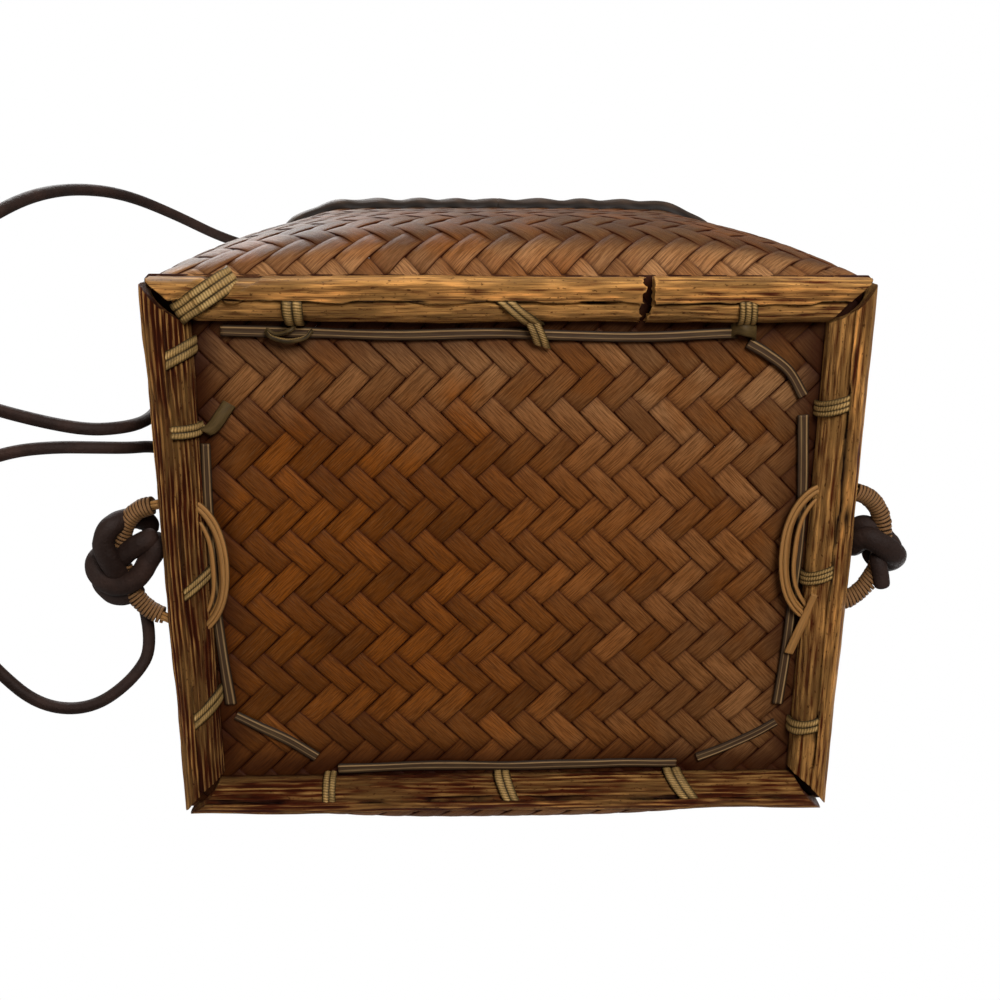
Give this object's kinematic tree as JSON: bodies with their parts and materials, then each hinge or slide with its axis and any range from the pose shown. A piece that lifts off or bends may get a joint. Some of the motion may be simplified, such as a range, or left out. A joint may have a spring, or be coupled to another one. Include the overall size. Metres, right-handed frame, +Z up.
{
  "type": "woven basket box bag",
  "caption": "Open woven cane basket bag: a swelling rectangular body on four split-cane base rails, with a bound rim, two cane end rings and a knotted leather strap.",
  "frame": {"origin": "on the floor, under the middle of the rectangular base frame", "axes": "+Z up out of the open mouth; +X along the long sides of the base; -Y is the side with the broken base rail"},
  "size_m": [0.3579, 0.2582, 0.1813],
  "materials": {
    "woven_cane": "varnished bamboo strips, warm brown",
    "rail_cane": "split cane, golden tan with dark streaks, worn varnish",
    "binding_cane": "light ribbed rattan peel",
    "dark_cane": "smoked flat cane, satin",
    "ring_cane": "split cane rod",
    "ring_binding": "spiral cane peel, aged",
    "rim_cane": "dark stained cane",
    "rim_binding": "dark stained twisted cane",
    "leather": "dark brown round leather cord, worn satin"
  },
  "bodies": {
    "root": {"corner_strip_back_left": "dark_cane", "corner_strip_back_right": "dark_cane", "corner_strip_front_right": "dark_cane", "edge_strip_back": "dark_cane", "edge_strip_front": "dark_cane", "edge_strip_left": "dark_cane", "edge_strip_right": "dark_cane", "knot_left": "leather", "knot_right": "leather", "lashing_back_1": "binding_cane", "lashing_back_2": "binding_cane", "lashing_back_3": "binding_cane", "lashing_front_1": "binding_cane", "lashing_front_2": "binding_cane", "lashing_front_3": "binding_cane", "lashing_front_4": "binding_cane", "lashing_left_1": "binding_cane", "lashing_left_2": "binding_cane", "lashing_left_3": "binding_cane", "lashing_left_4": "binding_cane", "lashing_right_1": "binding_cane", "lashing_right_2": "binding_cane", "lashing_right_3": "binding_cane", "rail_back": "rail_cane", "rail_front_left": "rail_cane", "rail_front_right": "rail_cane", "rail_left": "rail_cane", "rail_right": "rail_cane", "rim_binding": "rim_binding", "rim_hoop": "rim_cane", "ring_left": "ring_cane", "ring_right": "ring_cane", "ring_wrap_left": "ring_binding", "ring_wrap_right": "ring_binding", "strap": "leather", "woven_body": "woven_cane"}
  },
  "joints": []
}
